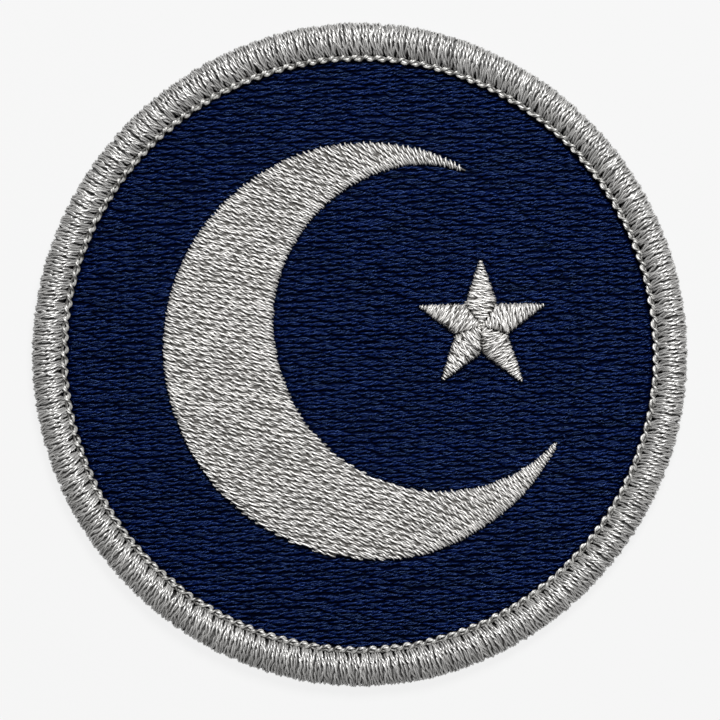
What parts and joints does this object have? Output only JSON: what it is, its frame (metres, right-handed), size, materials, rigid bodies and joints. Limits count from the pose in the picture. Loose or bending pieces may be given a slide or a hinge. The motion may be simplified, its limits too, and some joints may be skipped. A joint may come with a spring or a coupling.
{
  "type": "embroidered patch",
  "caption": "Round sew-on embroidered patch: navy stitched ground with a raised silver crescent and star inside a thick overlocked border.",
  "frame": {"origin": "middle of the flat back, on the surface that the patch lies on", "axes": "+Z out of the embroidered face, +Y to the top of the design, the crescent opens towards +X"},
  "size_m": [0.0756, 0.0766, 0.0028],
  "materials": {
    "ground_cloth": "navy woven polyester twill, its back covered by bobbin thread",
    "navy_thread": "navy rayon embroidery thread in brick-laid fill stitches",
    "silver_thread": "silver-grey rayon embroidery thread in fill and satin stitches",
    "border_thread": "silver-grey polyester overlock thread"
  },
  "bodies": {
    "root": {"ground_cloth": "ground_cloth", "field_fill": "navy_thread", "border": "border_thread", "chain_edge": "border_thread", "crescent": "silver_thread", "star_arm_1": "silver_thread", "star_arm_2": "silver_thread", "star_arm_3": "silver_thread", "star_arm_4": "silver_thread", "star_arm_5": "silver_thread"}
  },
  "joints": []
}
